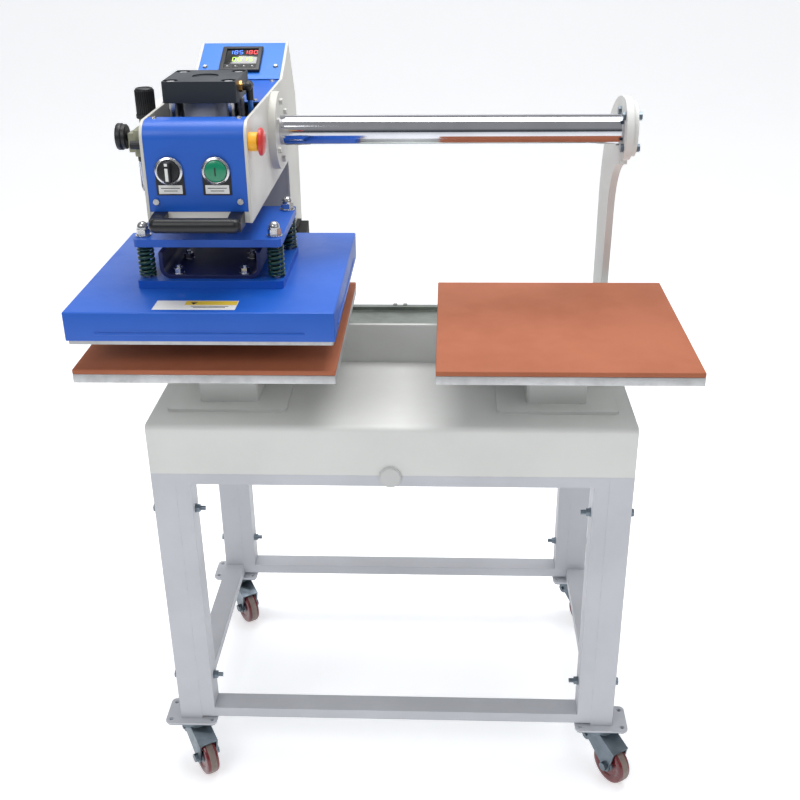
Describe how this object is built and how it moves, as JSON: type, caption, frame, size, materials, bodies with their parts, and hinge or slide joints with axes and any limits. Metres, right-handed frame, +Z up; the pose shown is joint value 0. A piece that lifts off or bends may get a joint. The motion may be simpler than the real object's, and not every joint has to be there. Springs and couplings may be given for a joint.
{
  "type": "pneumatic heat press",
  "caption": "Pneumatic heat press: a head with a heated platen slides along a tube between two pedestal platens, on a caster stand.",
  "frame": {"origin": "on the floor, at the middle of the machine's footprint, between the two stations", "axes": "+X to the operator's right along the guide tube, +Y to the back, +Z up"},
  "size_m": [0.952, 0.616, 1.261],
  "materials": {
    "white_paint": "satin powder coat",
    "blue_paint": "satin powder coat",
    "navy_paint": "satin",
    "dark_paint": "semi-gloss",
    "zinc": "zinc plated",
    "steel": "brushed",
    "chrome": "polished",
    "spring_steel": "dark coated",
    "cast_aluminium": "machined",
    "alloy": "die cast",
    "brass": "satin",
    "silicone": "matte",
    "black_rubber": "matte",
    "black_plastic": "satin",
    "black_gloss": "gloss",
    "grey_plastic": "matte",
    "blue_hose": "satin",
    "clear_bowl": "clear plastic",
    "green_plastic": "gloss",
    "red_plastic": "satin",
    "yellow_plastic": "satin",
    "wheel_rubber": "matte"
  },
  "bodies": {
    "stand": {"side_frame_left": "white_paint", "side_frame_right": "white_paint", "front_frame": "white_paint", "rear_frame": "white_paint", "caster_plates": "zinc", "frame_bolts": "zinc", "table_body": "white_paint", "rear_housing": "white_paint", "rear_rail": "zinc", "seam_plug": "grey_plastic", "lower_platens": "cast_aluminium", "silicone_pads": "silicone", "pedestals": "white_paint", "arm_left": "white_paint", "arm_right": "white_paint", "guide_tube": "chrome"},
    "head": {"cheek_left": "white_paint", "cheek_right": "white_paint", "front_cover": "blue_paint", "base_plate": "white_paint", "rear_cover": "blue_paint", "control_panel": "blue_paint", "display_unit": "black_plastic", "head_screws": "steel", "column_sheets": "white_paint", "cylinder_barrel": "cast_aluminium", "cylinder_caps": "dark_paint", "tie_rods": "steel", "brass_fitting": "brass", "black_fittings": "black_plastic", "air_hose": "blue_hose", "slide_bushes": "white_paint", "regulator_body": "alloy", "filter_bowl": "clear_bowl", "pressure_gauge": "black_plastic", "front_handle": "black_gloss", "button_bases": "steel", "estop_collar": "yellow_plastic", "carriage": "grey_plastic", "bumpers": "black_rubber"},
    "press": {"piston_rod": "chrome", "upper_plate": "blue_paint", "press_springs": "spring_steel"},
    "hot_platen": {"lower_plate": "blue_paint", "press_yoke": "navy_paint", "heater_cover": "blue_paint", "heater_block": "cast_aluminium", "guide_bolts": "steel"},
    "start_push": {"start_button": "green_plastic"},
    "selector_turn": {"selector_knob": "black_plastic"},
    "estop_push": {"estop_button": "red_plastic"},
    "pressure_turn": {"regulator_knob": "black_plastic"},
    "swivel_front_left": {"fork_front_left": "zinc"},
    "roll_front_left": {"wheel_front_left": "wheel_rubber"},
    "swivel_front_right": {"fork_front_right": "zinc"},
    "roll_front_right": {"wheel_front_right": "wheel_rubber"},
    "swivel_rear_left": {"fork_rear_left": "zinc"},
    "roll_rear_left": {"wheel_rear_left": "wheel_rubber"},
    "swivel_rear_right": {"fork_rear_right": "zinc"},
    "roll_rear_right": {"wheel_rear_right": "wheel_rubber"}
  },
  "joints": [
    {"name": "head_slide", "type": "slide", "parent": "stand", "child": "head", "axis": [1, 0, 0], "range_m": [0, 0.55]},
    {"name": "press_stroke", "type": "slide", "parent": "head", "child": "press", "axis": [0, 0, -1], "range_m": [0, 0.04]},
    {"name": "platen_float", "type": "slide", "parent": "press", "child": "hot_platen", "axis": [0, 0, 1], "range_m": [0, 0.006], "stiffness_N_per_m": 40000, "springref_m": -0.006, "deforming": ["press_springs"]},
    {"name": "start_press", "type": "slide", "parent": "head", "child": "start_push", "axis": [0, 1, 0], "range_m": [0, 0.0035], "stiffness_N_per_m": 400},
    {"name": "selector_rotate", "type": "hinge", "parent": "head", "child": "selector_turn", "pos_m": [-0.314, -0.232, 1.144], "axis": [0, 1, 0], "range_deg": [-45, 45]},
    {"name": "estop_press", "type": "slide", "parent": "head", "child": "estop_push", "axis": [-1, 0, 0], "range_m": [0, 0.005]},
    {"name": "pressure_set", "type": "hinge", "parent": "head", "child": "pressure_turn", "pos_m": [-0.374, -0.1, 1.21], "axis": [0, 0, 1], "range_deg": [-720, 720]},
    {"name": "swivel_front_left", "type": "hinge", "parent": "stand", "child": "swivel_front_left", "pos_m": [-0.38, -0.207, 0.1], "axis": [0, 0, 1], "continuous": true},
    {"name": "roll_front_left", "type": "hinge", "parent": "swivel_front_left", "child": "roll_front_left", "pos_m": [-0.35706, -0.23977, 0.038], "axis": [0.8192, 0.5736, 0], "continuous": true},
    {"name": "swivel_front_right", "type": "hinge", "parent": "stand", "child": "swivel_front_right", "pos_m": [0.38, -0.207, 0.1], "axis": [0, 0, 1], "continuous": true},
    {"name": "roll_front_right", "type": "hinge", "parent": "swivel_front_right", "child": "roll_front_right", "pos_m": [0.40294, -0.23977, 0.038], "axis": [0.8192, 0.5736, 0], "continuous": true},
    {"name": "swivel_rear_left", "type": "hinge", "parent": "stand", "child": "swivel_rear_left", "pos_m": [-0.38, 0.259, 0.1], "axis": [0, 0, 1], "continuous": true},
    {"name": "roll_rear_left", "type": "hinge", "parent": "swivel_rear_left", "child": "roll_rear_left", "pos_m": [-0.35706, 0.22623, 0.038], "axis": [0.8192, 0.5736, 0], "continuous": true},
    {"name": "swivel_rear_right", "type": "hinge", "parent": "stand", "child": "swivel_rear_right", "pos_m": [0.38, 0.259, 0.1], "axis": [0, 0, 1], "continuous": true},
    {"name": "roll_rear_right", "type": "hinge", "parent": "swivel_rear_right", "child": "roll_rear_right", "pos_m": [0.40294, 0.22623, 0.038], "axis": [0.8192, 0.5736, 0], "continuous": true}
  ]
}
